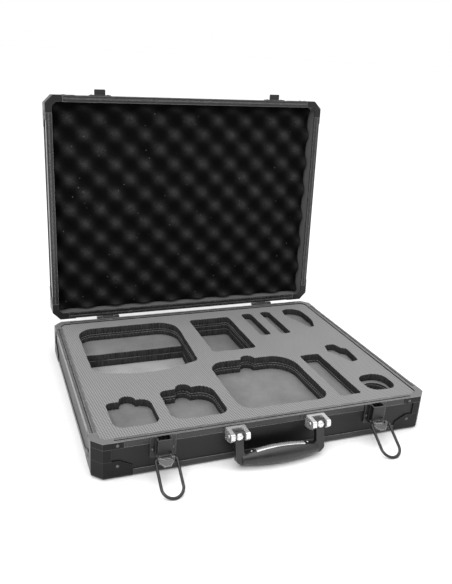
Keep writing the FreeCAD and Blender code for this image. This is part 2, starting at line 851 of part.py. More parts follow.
GRIP_SIDES = {"left": "-grip_x", "right": "grip_x"}
BARREL_END = "grip_x - arm_half + 2"
INSERT_END = 33
INSERT_HALF = 5
INSERT_PROUD = 0.5
STUD_X = 38.5
STUD_RADIUS = 2.0
STUD_LIFT = 0.05


def make_bracket(side, x):
    """A square cast bracket on the front wall, open in front, with two thick ears for the pin."""
    body = new_body(f"{side}_bracket")
    wall = "case_depth / 2 - rim_inset"
    plate = [
        (f"{x} - bracket_half", "bracket_foot"),
        (f"{x} + bracket_half", "bracket_foot"),
        (f"{x} + bracket_half", "bracket_top"),
        (f"{x} - bracket_half", "bracket_top"),
    ]
    add_pad(body, "plate", "XZ_Plane", wall, plate, "rim_inset + 1.2")
    bar = [(p[0], "bracket_top - 5.5" if p[1] == "bracket_foot" else p[1]) for p in plate]
    add_pad(body, "bar", "XZ_Plane", wall, bar, "rim_inset + 4.6")
    ear = [
        ("0.4", "bracket_top"),
        ("bracket_reach - 1", "bracket_top", 2),
        ("bracket_reach", "bracket_top - 7"),
        ("bracket_reach - 3.5", "bracket_top - 11.5", 3),
        ("hub_out - 2", "bracket_foot + 0.5", 3),
        ("0.4", "bracket_foot"),
    ]
    outline = [(f"{FRONT} - ({p[0]})", *p[1:]) for p in ear]
    for name, start in (("left_ear", f"{x} - bracket_half"), ("right_ear", f"{x} + bracket_half - ear_wall")):
        add_pad(body, name, "YZ_Plane", start, outline, "ear_wall")
    cut_circle(body, "bore", "YZ_Plane", x, f"{FRONT} - hub_out", "hub_up", "handle_pin_radius",
               "bracket_half * 2 + 2", symmetric=True)
    keep(body, f"handle_bracket_{side}")


def make_handle_pins():
    """The two pins that the handle swings on."""
    pins = []
    for side, x in GRIP_SIDES.items():
        body = new_body(f"{side}_handle_pin")
        add_disc(body, "pin", "YZ_Plane", x, f"{FRONT} - hub_out", "hub_up", "handle_pin_radius",
                 "bracket_half * 2 + 1.2", symmetric=True)
        pins.append(body)
    group(pins, "handle_pins")


def grip_barrel(body, name, extra=0):
    """A barrel along X, thicker in the middle, at the foot of the arms."""
    sketch = new_sketch(body, name + "_section", "XZ_Plane")
    end_x = number(BARREL_END)
    end_r = number(f"grip_end_radius + {extra}")
    mid_r = number(f"grip_mid_radius + {extra}")
    level = -number("arm_length")
    right_end = Vector(end_x, level + end_r, 0)
    crest = Vector(0, level + mid_r, 0)
    left_end = Vector(-end_x, level + end_r, 0)
    arc = sketch.addGeometry(Part.Arc(right_end, crest, left_end), False)
    corners = [left_end, Vector(-end_x, level, 0), Vector(end_x, level, 0), right_end]
    lines = [sketch.addGeometry(Part.LineSegment(a, b), False) for a, b in zip(corners, corners[1:])]
    sketch.addConstraint([
        Sketcher.Constraint("Coincident", arc, 2, lines[0], 1),
        Sketcher.Constraint("Coincident", lines[0], 2, lines[1], 1),
        Sketcher.Constraint("Coincident", lines[1], 2, lines[2], 1),
        Sketcher.Constraint("Coincident", lines[2], 2, arc, 1),
    ])
    end_level = f"grip_end_radius + {extra} - arm_length"
    fix_point(sketch, lines[0], 1, (f"-({BARREL_END})", end_level))
    fix_point(sketch, lines[1], 1, (f"-({BARREL_END})", "-arm_length"))
    fix_point(sketch, lines[1], 2, (BARREL_END, "-arm_length"))
    fix_point(sketch, lines[2], 2, (BARREL_END, end_level))
    top = sketch.addGeometry(Part.Point(crest), True)
    fix_point(sketch, top, 1, (0, f"grip_mid_radius + {extra} - arm_length"))
    sketch.addConstraint(Sketcher.Constraint("PointOnObject", top, 1, arc))
    doc.recompute()
    barrel = body.newObject("PartDesign::Revolution", name)
    barrel.Profile = sketch
    barrel.ReferenceAxis = (sketch, [f"Edge{lines[1] + 1}"])
    barrel.Angle = 360


def make_handle():
    """Two arms on hubs with a barrel grip between them, modelled hanging straight down."""
    pivot = Vector(0, number(f"{FRONT} - hub_out"), number("hub_up"))
    frame = Placement(pivot, Rotation(Vector(1, 0, 0), -number("handle_tilt")))
    body = new_body("handle")
    for side, x in GRIP_SIDES.items():
        add_disc(body, f"{side}_hub", "YZ_Plane", x, 0, 0, "hub_radius", "hub_half * 2", symmetric=True)
        inner = "grip_x - arm_half"
        outer = "grip_x + arm_half"
        sign = "-" if side == "left" else ""
        arm = [
            (f"{sign}({outer})", 0),
            (f"{sign}({outer})", "-(arm_length + 1)", 3),
            (f"{sign}({outer} - 6)", "-(arm_length + grip_end_radius)", 4),
            (f"{sign}({inner} - 4)", "-(arm_length + grip_end_radius)"),
            (f"{sign}({inner} - 8)", "-(arm_length - grip_end_radius + 1)"),
            (f"{sign}({inner})", "-(arm_length - grip_end_radius - 1)", 5),
            (f"{sign}({inner})", 0),
        ]
        if side == "left":
            arm.reverse()
        add_pad(body, f"{side}_arm", "XZ_Plane", 0, arm, "arm_wall + 1", symmetric=True)
    grip_barrel(body, "grip")
    cut_circle(body, "pin_bore", "YZ_Plane", 0, 0, 0, "handle_pin_radius + running_fit", "case_width", True)
    check_balance(body)
    keep(body, "handle", frame)
    make_grip_insert(frame)
    make_grip_studs(frame)


def check_balance(body):
    """Stops if a piece that is the same on both sides has lost something from one of them."""
    box = body.Shape.BoundBox
    if abs(box.XMin + box.XMax) > TOLERANCE or len(body.Shape.Solids) != 1:
        raise RuntimeError(f"{body.Name} is not whole on both sides")


def make_grip_insert(frame):
    """A thin bright strip let into the top of the grip: a slice of a slightly larger barrel."""
    outer = new_body("insert_barrel")
    grip_barrel(outer, "barrel", INSERT_PROUD)
    inner = new_body("grip_space")
    grip_barrel(inner, "space")
    slot = new_body("insert_slot")
    add_pad(slot, "slot", "YZ_Plane", 0, [
        (-INSERT_HALF, "-arm_length"),
        (INSERT_HALF, "-arm_length"),
        (INSERT_HALF, 0),
        (-INSERT_HALF, 0),
    ], INSERT_END * 2, symmetric=True)
    slice_ = doc.addObject("Part::Common", "insert_slice")
    slice_.Base = outer
    slice_.Tool = slot
    strip = doc.addObject("Part::Cut", "handle_insert")
    strip.Base = slice_
    strip.Tool = inner
    keep(strip, "handle_insert", frame)


def make_grip_studs(frame):
    """Two small bright studs, one at each end of the insert."""
    thick = number("grip_mid_radius")
    fall = thick - number("grip_end_radius")
    along = STUD_X / number(BARREL_END)
    place = (STUD_X, 0, thick - fall * along ** 2 + STUD_LIFT - number("arm_length"))
    slope = 2 * fall * along / number(BARREL_END)
    right = rivet("right_stud", place, (slope, 0, 1), STUD_RADIUS)
    studs = [right, mirror(right, "left_stud", (1, 0, 0))]
    group(studs, "handle_studs", frame)


# ---------------------------------------------------------------- foam

# Each pocket is a list of corners (x, y, rounding). A bump and the well are (x, y, radius).
POCKETS = {
    "broad_back": [(-198, 142, 26), (-198, -4, 26), (-118, -25, 150), (-42, -1, 12), (-36, 142, 32)],
    "square": [(-11, 139, 7), (-11, 18, 7), (60, 18, 7), (60, 139, 7)],
    "slot_a": [(85, 144, 7), (85, 57, 6), (104, 57, 6), (104, 144, 7)],
    "slot_b": [(121, 145, 7), (121, 55, 6), (139, 55, 6), (139, 145, 7)],
    "half_moon": [(161, 126, 4), (165, 147, 12), (198, 150, 20), (199, 96, 60), (190, 71, 4), (180, 68, 4)],
    "wavy": [
        (163, -20, 4), (168, -1, 6), (186, 1, 6), (190, -15, 5), (198, -18, 7), (195, -57, 6), (181, -60, 4),
    ],
    "long_slot": [(112, -24, 4), (112, -145, 4), (144, -145, 4), (144, -24, 4)],
    "round": [(161, -101, 16), (161, -144, 14), (204, -144, 14), (204, -101, 18)],
    "large_kit": [(-33, -14, 24), (-33, -145, 22), (97, -145, 18), (97, -14, 34)],
    "medium_kit": [(-124, -74, 10), (-124, -146, 16), (-50, -146, 12), (-50, -72, 20)],
    "small_kit": [(-198, -87, 8), (-198, -146, 14), (-140, -146, 12), (-140, -87, 14)],
}
BUMPS = {
    "large_kit": (31, -15, 11),
    "medium_kit": (-89, -74, 11),
    "small_kit": (-169, -87, 11),
}
WELL = (182, -125, 18.5)
STEP_Y = 92
LONG_SLOT_STEP = 3.5
BROAD_FRONT = [(-198, STEP_Y), *POCKETS["broad_back"][1:4], (-36, STEP_Y)]
LAYERS = [
    ("foam_layer_1", 3, "foam_inset", list(POCKETS)),
    ("foam_layer_2", 2, "foam_inset_low", ["broad_back", "square", "large_kit", "medium_kit"]),
    ("foam_layer_3", 1, "foam_inset_low", ["square"]),
    ("foam_layer_4", 0, "foam_inset_low", []),
]


def make_foam():
    """Four sheets of foam. The pockets are cut through as many sheets as they are deep."""
    for name, level, inset, through in LAYERS:
        body = new_body(name)
        low = f"foam_floor + foam_sheet * {level}"
        top = f"{low} + foam_sheet"
        add_pad(body, "sheet", "XY_Plane", low, octagon(inset), "foam_sheet")
        for pocket in through:
            cut_outline(body, pocket, "XY_Plane", top, POCKETS[pocket], "foam_sheet")
            if pocket in BUMPS:
                cut_circle(body, f"{pocket}_bump", "XY_Plane", top, *BUMPS[pocket], "foam_sheet")
        if level < 2:
            cut_outline(body, "broad_front", "XY_Plane", top, BROAD_FRONT, "foam_sheet")
        if level in (1, 2):
            cut_circle(body, "well", "XY_Plane", top, *WELL, "foam_sheet")
        if level == 2:
            cut_outline(body, "long_step", "XY_Plane", top, POCKETS["long_slot"], LONG_SLOT_STEP)
        keep(body, name)
    felt = new_body("base_felt")
    add_pad(felt, "felt", "XY_Plane", "board", octagon("foam_inset_low"), "lining")
    keep(felt, "base_felt")


def make_lid_lining():
    """The cloth lining round the inside of the lid and the foam pad against its top."""
    wall = new_body("lid_lining")
    inset = "board_inset + board + rim_wall * 2 + 0.1"
    height = "lid_height - rim_web - rim_wall - board - 0.2"
    add_pad(wall, "ring", "XY_Plane", "board", octagon(inset), height)
    inside = octagon(f"{inset} + lining")
    cut_outline(wall, "inside", "XY_Plane", "lid_height", inside, "lid_height - board + 1")
    keep(wall, "lid_lining", LID)
    pad = new_body("lid_foam")
    add_pad(pad, "pad", "XY_Plane", "board", octagon(f"{inset} + lining + 0.2"), "lid_foam_top - board")
    keep(pad, "lid_foam", LID)


# ---------------------------------------------------------------- assembly and output


def check_document():
    """Stops if any object failed or any sub-part has no sound shape."""
    for thing in doc.Objects:
        if {"Invalid", "Error"} & set(thing.State):
            raise RuntimeError(f"{thing.Label} failed: {thing.State}")
    for piece in PIECES:
        shape = piece.Shape
        if shape.isNull() or not shape.isValid() or shape.Volume <= 0:
            raise RuntimeError(f"{piece.Label} has no sound shape")


make_shell("base", "base_height", "groove", BASE)
make_shell("lid", "lid_height", "tongue", LID)
make_hinges()
make_latches()
for side_name, side_x in GRIP_SIDES.items():
    make_bracket(side_name, side_x)
make_handle_pins()
make_handle()
make_foam()
make_lid_lining()
group(corner_rivets("base", number("base_height")) + leaf_rivets(False) + plate_rivets(False), "base_rivets")
group(corner_rivets("lid", number("lid_height")), "lid_corner_rivets", LID)
group(leaf_rivets(True) + plate_rivets(True), "lid_plate_rivets", OPEN)

doc.recompute()
check_document()
os.makedirs("parts", exist_ok=True)
for piece in PIECES:
    piece.Shape.exportStep(f"parts/{piece.Label}.step")
print(len(PIECES), "sub-parts written")
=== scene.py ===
import json
import math

import bmesh
import bpy
from mathutils import Matrix, Vector, noise


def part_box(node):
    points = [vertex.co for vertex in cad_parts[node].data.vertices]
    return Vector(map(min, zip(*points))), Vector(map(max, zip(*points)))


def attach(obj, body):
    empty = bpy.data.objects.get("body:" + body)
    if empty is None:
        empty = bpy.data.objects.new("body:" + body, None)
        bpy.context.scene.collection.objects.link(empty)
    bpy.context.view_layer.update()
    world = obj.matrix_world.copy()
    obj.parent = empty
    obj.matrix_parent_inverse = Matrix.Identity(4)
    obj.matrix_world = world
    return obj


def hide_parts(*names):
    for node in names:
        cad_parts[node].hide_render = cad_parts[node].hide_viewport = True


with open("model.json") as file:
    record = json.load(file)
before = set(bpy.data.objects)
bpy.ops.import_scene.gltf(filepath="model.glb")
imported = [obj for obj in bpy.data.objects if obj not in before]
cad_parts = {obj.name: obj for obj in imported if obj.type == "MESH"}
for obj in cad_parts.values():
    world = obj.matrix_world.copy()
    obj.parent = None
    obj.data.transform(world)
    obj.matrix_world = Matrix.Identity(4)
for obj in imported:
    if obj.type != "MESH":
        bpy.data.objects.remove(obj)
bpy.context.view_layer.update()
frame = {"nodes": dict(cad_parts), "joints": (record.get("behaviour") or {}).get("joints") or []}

# An open carrying case with a metal frame and fitted foam, in metres.
# X runs along the width, -Y is the front with the handle, +Z is up.

MM = 0.001
LID_HINGE = next(j for j in frame["joints"] if j["name"] == "lid_hinge")
OPEN_ANGLE = math.radians(LID_HINGE["range_deg"][1])

LID_TILT = -OPEN_ANGLE

# ---------------------------------------------------------------- materials

NOISE_LOW = 0.3
NOISE_HIGH = 0.7
# Edge radii of the pale edges, painted partly as wear and partly as highlights, and the reach of the painted
# black shade in grooves.
EDGE_WEAR_AND_HIGHLIGHT = 0.6 * MM
FRAME_EDGE_WEAR_AND_HIGHLIGHT = 0.5 * MM
GROOVE_SHADE_REACH = 2 * MM
WEAVE_PITCH = 4.4 * MM
WEAVE_TURN = math.radians(38)


def add_node(tree, kind, inputs=None, **settings):
    """Adds a shader node. An input takes a number, a colour or another node's output."""
    made = tree.nodes.new(kind)
    for field, value in settings.items():
        setattr(made, field, value)
    for name, value in (inputs or {}).items():
        socket = made.inputs[name]
        if isinstance(value, bpy.types.NodeSocket):
            tree.links.new(value, socket)
        else:
            socket.default_value = value
    return made


def grey(value):
    """A linear colour from a grey as the eye reads it, from 0 to 1."""
    linear = value ** 2.2
    return (linear, linear, linear, 1)


def math_node(tree, operation, a, b=0.5):
    """The result of one sum on one or two values."""
    return add_node(tree, "ShaderNodeMath", {0: a, 1: b}, operation=operation).outputs[0]


def spread(tree, value, low, high, new_low=0.0, new_high=1.0):
    """Maps a value from one range to another, clamped."""
    inputs = {"Value": value, "From Min": low, "From Max": high, "To Min": new_low, "To Max": new_high}
    return add_node(tree, "ShaderNodeMapRange", inputs).outputs["Result"]


def blend_colours(tree, amount, first, second):
    """The first colour where the amount is 0, and the second where it is 1."""
    made = add_node(tree, "ShaderNodeMix", data_type="RGBA")
    for socket, value in ((made.inputs[0], amount), (made.inputs[6], first), (made.inputs[7], second)):
        if isinstance(value, bpy.types.NodeSocket):
            tree.links.new(value, socket)
        else:
            socket.default_value = value
    return made.outputs[2]


def noise_at(tree, place, scale, detail=3.0, roughness=0.5):
    """Smooth noise. The scale is in waves per metre."""
    inputs = {"Vector": place, "Scale": scale, "Detail": detail, "Roughness": roughness}
    return add_node(tree, "ShaderNodeTexNoise", inputs).outputs["Fac"]


def evened(tree, value, new_low=0.0, new_high=1.0):
    """Spreads a noise value over a range, clamped at the ends that it seldom passes."""
    return spread(tree, value, NOISE_LOW, NOISE_HIGH, new_low, new_high)


def stretched(tree, place, scales, turn=0.0):
    """A place scaled along each axis, after a turn about X."""
    inputs = {"Vector": place, "Scale": scales, "Rotation": (turn, 0, 0)}
    return add_node(tree, "ShaderNodeMapping", inputs).outputs["Vector"]


def edge_mask(tree, radius):
    """Bright where the surface turns a corner within the radius."""
    soft = add_node(tree, "ShaderNodeBevel", {"Radius": radius}, samples=14).outputs["Normal"]
    hard = add_node(tree, "ShaderNodeNewGeometry").outputs["Normal"]
    dot = add_node(tree, "ShaderNodeVectorMath", {0: soft, 1: hard}, operation="DOT_PRODUCT")
    return spread(tree, dot.outputs["Value"], 0.995, 0.86)


def faces_towards(tree, way):
    """Bright where the surface of the piece faces this way."""
    normal = add_node(tree, "ShaderNodeTexCoord").outputs["Normal"]
    dot = add_node(tree, "ShaderNodeVectorMath", {0: normal, 1: way}, operation="DOT_PRODUCT")
    return spread(tree, dot.outputs["Value"], 0.6, 0.85)


def start_material(name, roughness=0.5, metallic=0.0):
    """A new material, its tree, its shader and the place of each point on the object."""
    material = bpy.data.materials.new(name)
    material.use_nodes = True
    tree = material.node_tree
    shader = tree.nodes["Principled BSDF"]
    shader.inputs["Roughness"].default_value = roughness
    shader.inputs["Metallic"].default_value = metallic
    place = add_node(tree, "ShaderNodeTexCoord").outputs["Object"]
    return material, tree, shader, place


def bump(tree, shader, height, distance, strength=1.0):
    """Raises and lowers the shaded surface. The distance is in metres."""
    inputs = {"Height": height, "Distance": distance, "Strength": strength}
    made = add_node(tree, "ShaderNodeBump", inputs)
    tree.links.new(made.outputs["Normal"], shader.inputs["Normal"])


def panel_material():
    """Charcoal laminate with a fine pebbled grain and faint cloudy patches."""
    material, tree, shader, place = start_material("panel_laminate")
    shader.inputs["Specular IOR Level"].default_value = 0.3
    cloud = noise_at(tree, place, 9, 4)
    speckle = noise_at(tree, place, 900, 2)
    base = blend_colours(tree, evened(tree, cloud), grey(0.06), grey(0.09))
    colour = blend_colours(tree, spread(tree, speckle, 0.35, 0.7, 0, 0.35), base, grey(0.14))
    tree.links.new(colour, shader.inputs["Base Color"])
    grain = add_node(tree, "ShaderNodeTexVoronoi", {"Vector": place, "Scale": 850, "Randomness": 0.9})
    rough = spread(tree, math_node(tree, "ADD", cloud, speckle), 0.7, 1.3, 0.30, 0.44)
    tree.links.new(rough, shader.inputs["Roughness"])
    bump(tree, shader, grain.outputs["Distance"], 0.25 * MM, 0.55)
    return material


def anodised_material(name, along, lit_way, lit_shade, turn=0.0):
    """Black anodised extrusion with fine draw lines along its length, painted paler on the faces that face
    the given way as painted light, with pale edges painted partly as wear and partly as highlights, and
    painted black shade in its grooves.

    Along is the number of the axis that the piece runs along. Turn is the tilt of its shell about X.
    """
    material, tree, shader, place = start_material(name, metallic=0.15)
    shader.inputs["Specular IOR Level"].default_value = 0.6
    scales = [700, 700, 700]
    scales[along] = 6
    lines = noise_at(tree, stretched(tree, place, scales, turn), 1, 4, 0.6)
    marks = noise_at(tree, place, 60, 5, 0.65)
    black = blend_colours(tree, evened(tree, lines), grey(0.10), grey(0.16))
    # Painted light: faces that face the given way get a paler colour, as where light falls on them.
    lit_face_colour = blend_colours(tree, evened(tree, lines), grey(lit_shade * 0.88), grey(lit_shade))
    colour = blend_colours(tree, faces_towards(tree, lit_way), black, lit_face_colour)
    edge_strength = spread(tree, marks, 0.28, 0.62, 0.7, 1)
    # Painted highlight: pale edges, partly wear and partly standing in for highlights along them.
    edge = math_node(tree, "MULTIPLY", edge_mask(tree, FRAME_EDGE_WEAR_AND_HIGHLIGHT), edge_strength)
    colour = blend_colours(tree, edge, colour, grey(0.70))
    # Painted shade: near black in grooves and creases that the occlusion finds shut in.
    painted_groove_shade = add_node(tree, "ShaderNodeAmbientOcclusion", {"Distance": GROOVE_SHADE_REACH}, samples=6)
    colour = blend_colours(tree, spread(tree, painted_groove_shade.outputs["AO"], 0.85, 0.5), colour, grey(0.01))
    tree.links.new(colour, shader.inputs["Base Color"])
    rough = spread(tree, math_node(tree, "ADD", lines, marks), 0.7, 1.35, 0.18, 0.34)
    tree.links.new(rough, shader.inputs["Roughness"])
    bump(tree, shader, lines, 0.06 * MM, 0.5)
    return material


def painted_material(name, shade, edge_shade, shine=0.25, lit_face=None):
    """Satin black paint on pressed metal, with orange-peel texture and pale edges, painted partly as wear and
    partly as highlights.

    The last argument is the way that a face must look to get painted light, and the paler shade painted on
    that face.
    """
    material, tree, shader, place = start_material(name, metallic=0.1)
    shader.inputs["Specular IOR Level"].default_value = shine
    peel = noise_at(tree, place, 420, 3)
    patches = noise_at(tree, place, 35, 5, 0.65)
    edge_strength = spread(tree, patches, 0.3, 0.6, 0.3, 1)
    edge = math_node(tree, "MULTIPLY", edge_mask(tree, EDGE_WEAR_AND_HIGHLIGHT), edge_strength)
    colour = blend_colours(tree, evened(tree, patches), grey(shade), grey(shade * 1.25))
    if lit_face:
        lit_way, lit_shade = lit_face
        # Painted light: faces that face the given way get a paler shade, as where light falls on them.
        colour = blend_colours(tree, faces_towards(tree, lit_way), colour, grey(lit_shade))
    # Painted highlight: pale edges, partly wear and partly standing in for highlights.
    colour = blend_colours(tree, edge, colour, grey(edge_shade))
    tree.links.new(colour, shader.inputs["Base Color"])
    tree.links.new(evened(tree, patches, 0.26, 0.40), shader.inputs["Roughness"])
    bump(tree, shader, peel, 0.08 * MM, 0.4)
    return material


def bright_material(name, shade, roughness, metallic=1.0):
    """Polished, plated or bare metal with fine scratches and a few dull smears."""
    material, tree, shader, place = start_material(name, metallic=metallic)
    scratches = noise_at(tree, stretched(tree, place, (200, 2600, 900)), 1, 5, 0.6)
    smears = noise_at(tree, place, 70, 4)
    colour = blend_colours(tree, spread(tree, smears, 0.35, 0.7), grey(shade), grey(shade * 0.9))
    tree.links.new(colour, shader.inputs["Base Color"])
    marks = math_node(tree, "ADD", scratches, smears)
    rough = spread(tree, marks, 0.7, 1.3, roughness * 0.6, roughness * 1.5)
    tree.links.new(rough, shader.inputs["Roughness"])
    bump(tree, shader, scratches, 0.03 * MM, 0.4)
    return material


def plastic_material():
    """Moulded black grip: satin, with a fine sparked texture and paler edges, painted partly as wear and
    partly as a highlight.
    """
    material, tree, shader, place = start_material("grip_plastic")
    spark = noise_at(tree, place, 1500, 3, 0.6)
    wear = noise_at(tree, place, 45, 4)
    base = blend_colours(tree, evened(tree, wear), grey(0.11), grey(0.16))
    # Painted highlight: paler edges, partly wear and partly standing in for shine.
    colour = blend_colours(tree, edge_mask(tree, EDGE_WEAR_AND_HIGHLIGHT), base, grey(0.30))
    tree.links.new(colour, shader.inputs["Base Color"])
    tree.links.new(evened(tree, wear, 0.22, 0.34), shader.inputs["Roughness"])
    bump(tree, shader, spark, 0.12 * MM, 0.45)
    return material


def foam_skin_material(name, light, dark, woven):
    """The skin of the grey foam: mottled, and on the top sheet pressed with a fine diagonal weave."""
    material, tree, shader, place = start_material(name, roughness=0.85)
    shader.inputs["Sheen Weight"].default_value = 0.25
    shader.inputs["Sheen Roughness"].default_value = 0.5
    shader.inputs["Specular IOR Level"].default_value = 0.25
    cloud = noise_at(tree, place, 16, 6, 0.65)
    fuzz = noise_at(tree, place, 1300, 3, 0.7)
    base = blend_colours(tree, evened(tree, cloud), grey(dark), grey(light))
    if not woven:
        colour = blend_colours(tree, evened(tree, fuzz, 0, 0.35), base, grey(dark * 0.8))
        tree.links.new(colour, shader.inputs["Base Color"])
        bump(tree, shader, math_node(tree, "ADD", fuzz, cloud), 0.3 * MM, 0.4)
        return material
    turned = add_node(tree, "ShaderNodeMapping", {"Vector": place, "Rotation": (0, 0, WEAVE_TURN)})
    parts = add_node(tree, "ShaderNodeSeparateXYZ", {"Vector": turned.outputs["Vector"]})
    waves = []
    for axis in ("X", "Y"):
        angle = math_node(tree, "MULTIPLY", parts.outputs[axis], 2 * math.pi / WEAVE_PITCH)
        waves.append(math_node(tree, "SINE", angle))
    product = math_node(tree, "MULTIPLY", *waves)
    weave = spread(tree, product, -0.7, 0.7)
    colour = blend_colours(tree, weave, base, grey(light * 1.12))
    colour = blend_colours(tree, spread(tree, product, 0.2, -0.7, 0, 0.75), colour, grey(dark * 0.76))
    tree.links.new(colour, shader.inputs["Base Color"])
    height = math_node(tree, "ADD", weave, math_node(tree, "MULTIPLY", fuzz, 0.4))
    bump(tree, shader, height, 0.3 * MM, 0.6)
    return material


def foam_cut_material():
    """The cut side of a foam sheet: dark open cells with vertical drag marks from the blade."""
    material, tree, shader, place = start_material("foam_cut", roughness=0.95)
    shader.inputs["Specular IOR Level"].default_value = 0.1
    cells = add_node(tree, "ShaderNodeTexVoronoi", {"Vector": place, "Scale": 1100})
    drag = noise_at(tree, stretched(tree, place, (420, 420, 60)), 1, 4, 0.65)
    shade = evened(tree, drag)
    base = blend_colours(tree, shade, grey(0.17), grey(0.29))
    colour = blend_colours(tree, spread(tree, cells.outputs["Distance"], 0, 0.6, 0.4, 0), base, grey(0.12))
    tree.links.new(colour, shader.inputs["Base Color"])
    bump(tree, shader, math_node(tree, "ADD", drag, cells.outputs["Distance"]), 0.5 * MM, 0.7)
    return material


def lid_foam_material():
    """Black open-cell foam with painted light on its peaks and painted shade in its pits, and a little pale
    lint on it.
    """
    material, tree, shader, place = start_material("lid_foam_black", roughness=0.95)
    shader.inputs["Sheen Weight"].default_value = 0.04
    shader.inputs["Sheen Roughness"].default_value = 0.45
    shader.inputs["Specular IOR Level"].default_value = 0.15
    cells = add_node(tree, "ShaderNodeTexVoronoi", {"Vector": place, "Scale": 900})
    cloud = noise_at(tree, place, 25, 4)
    lint = add_node(tree, "ShaderNodeTexVoronoi", {"Vector": place, "Scale": 70, "Randomness": 1.0})
    depth = add_node(tree, "ShaderNodeAttribute", attribute_name="depth").outputs["Fac"]
    # Painted light and shade: the peaks are painted paler and the pits near black, by how deep each point
    # lies.
    painted_peak_light = math_node(tree, "POWER", spread(tree, depth, 0.78, 0.0), 2.0)
    painted_peak_light_patches = math_node(tree, "MULTIPLY", painted_peak_light, spread(tree, cloud, 0.25, 0.75, 0.6, 1.0))
    grain = spread(tree, noise_at(tree, place, 620, 3, 0.8), 0.35, 0.65, 0.15, 1.5)
    base = blend_colours(tree, math_node(tree, "MULTIPLY", painted_peak_light_patches, grain), grey(0.005), grey(0.235))
    colour = blend_colours(tree, spread(tree, cells.outputs["Distance"], 0.05, 0.5, 0.6, 0), base, grey(0.02))
    colour = blend_colours(tree, spread(tree, lint.outputs["Distance"], 0.06, 0.03), colour, grey(0.45))
    tree.links.new(colour, shader.inputs["Base Color"])
    bump(tree, shader, math_node(tree, "ADD", cells.outputs["Distance"], cloud), 0.6 * MM, 0.6)
    return material


def felt_material(name, light, dark):
    """Pressed felt: short crossed fibres and soft blotches."""
    material, tree, shader, place = start_material(name, roughness=0.95)
    shader.inputs["Sheen Weight"].default_value = 0.4
    shader.inputs["Sheen Roughness"].default_value = 0.6
    shader.inputs["Specular IOR Level"].default_value = 0.1
    along = noise_at(tree, stretched(tree, place, (1500, 260, 700)), 1, 4, 0.6)
    across = noise_at(tree, stretched(tree, place, (260, 1500, 260)), 1, 4, 0.6)
    fibre = math_node(tree, "MAXIMUM", along, across)
    blotch = noise_at(tree, place, 30, 4)
    base = blend_colours(tree, evened(tree, blotch), grey(dark), grey(light))
    colour = blend_colours(tree, spread(tree, fibre, 0.45, 0.75, 0, 0.5), base, grey(light * 1.2))
    tree.links.new(colour, shader.inputs["Base Color"])
    bump(tree, shader, fibre, 0.4 * MM, 0.6)
    return material


def stage_material():
    """Plain pale matt paper with the faintest grain."""
    material, tree, shader, place = start_material("pale_paper", roughness=0.9)
    grain = noise_at(tree, place, 240, 3)
    colour = blend_colours(tree, evened(tree, grain), grey(0.955), grey(0.97))
    tree.links.new(colour, shader.inputs["Base Color"])
    return material


PANEL = panel_material()
# Painted light: the frame and cap faces that face these ways are painted in these paler shades.
BASE_LIT_FACE = ((0, 0, 1), 0.44)
LID_LIT_FACE = (Matrix.Rotation(LID_TILT, 3, "X") @ Vector((0, 0, -1)), 0.14)
FRAME = {
    "base_x": anodised_material("anodised_base_width", 0, *BASE_LIT_FACE),
    "base_y": anodised_material("anodised_base_depth", 1, *BASE_LIT_FACE),
    "lid_x": anodised_material("anodised_lid_width", 0, *LID_LIT_FACE, turn=LID_TILT),
    "lid_y": anodised_material("anodised_lid_depth", 1, *LID_LIT_FACE, turn=LID_TILT),
}
GUARD = painted_material("guard_paint", 0.045, 0.30)
BASE_CAP = painted_material("base_cap_paint", 0.05, 0.55, lit_face=BASE_LIT_FACE)
LID_CAP = painted_material("lid_cap_paint", 0.05, 0.42, lit_face=LID_LIT_FACE)
PLATE = painted_material("plate_paint", 0.06, 0.52, shine=0.6)
LEVER = painted_material("lever_paint", 0.16, 0.85, shine=0.8)
BRIGHT = bright_material("bright_plating", 0.92, 0.22, metallic=0.75)
STEEL = bright_material("pin_steel", 0.86, 0.3)
RIVET = bright_material("rivet_dark", 0.42, 0.34)
WIRE = bright_material("wire_steel", 0.27, 0.30)
GRIP = plastic_material()
FOAM_TOP = foam_skin_material("foam_skin_woven", 0.48, 0.42, True)
FOAM_FLOOR = foam_skin_material("foam_skin_smooth", 0.50, 0.38, False)
FOAM_CUT = foam_cut_material()
LID_FOAM = lid_foam_material()
FELT = felt_material("felt_grey", 0.58, 0.50)
LINING = felt_material("lining_dark", 0.17, 0.13)
PAPER = stage_material()


def material_for(node):
    """The material of a CAD node that keeps its shape."""
    shell = node.split("_")[0]
    if node.endswith("_board"):
        return PANEL
    if node.endswith(("_front_rim", "_back_rim", "_edge_trims")):
        return FRAME[f"{shell}_x"]
    if node.endswith("_rim"):
        return FRAME[f"{shell}_y"]
    if node.endswith("_caps"):
        return BASE_CAP if shell == "base" else LID_CAP
    if node.endswith(("_posts", "_guards")):
        return GUARD
    if node.endswith("rivets"):
        return RIVET
    if node.startswith(("handle_bracket", "handle_insert", "handle_studs", "handle_pins")):
        return BRIGHT
    if node.startswith(("hinge_pin", "lever_pin")):
        return STEEL
    if node.startswith("latch_bail"):
        return WIRE
    if node.startswith("latch_lever"):
        return LEVER
    if node == "handle":
        return GRIP
    return PLATE


ROUND_NODES = ("rivets", "studs", "pin", "pins", "bail")
USUAL_EDGE = 0.25 * MM
EDGE_RADIUS = {"handle": 0.6 * MM, "handle_bracket_left": 0.5 * MM, "handle_bracket_right": 0.5 * MM}


def dress_nodes():
    """Gives every CAD node its material, and a small rounding on its edges to catch the light."""
    for name, node in frame["nodes"].items():
        node.data.materials.clear()
        node.data.materials.append(material_for(name))
        if any(word in name for word in ROUND_NODES):
            continue
        rounding = node.modifiers.new("edge_rounding", "BEVEL")
        rounding.width = EDGE_RADIUS.get(name, USUAL_EDGE)
        rounding.segments = 2
        rounding.limit_method = "ANGLE"
        rounding.angle_limit = math.radians(40)


dress_nodes()

# ---------------------------------------------------------------- mesh helpers


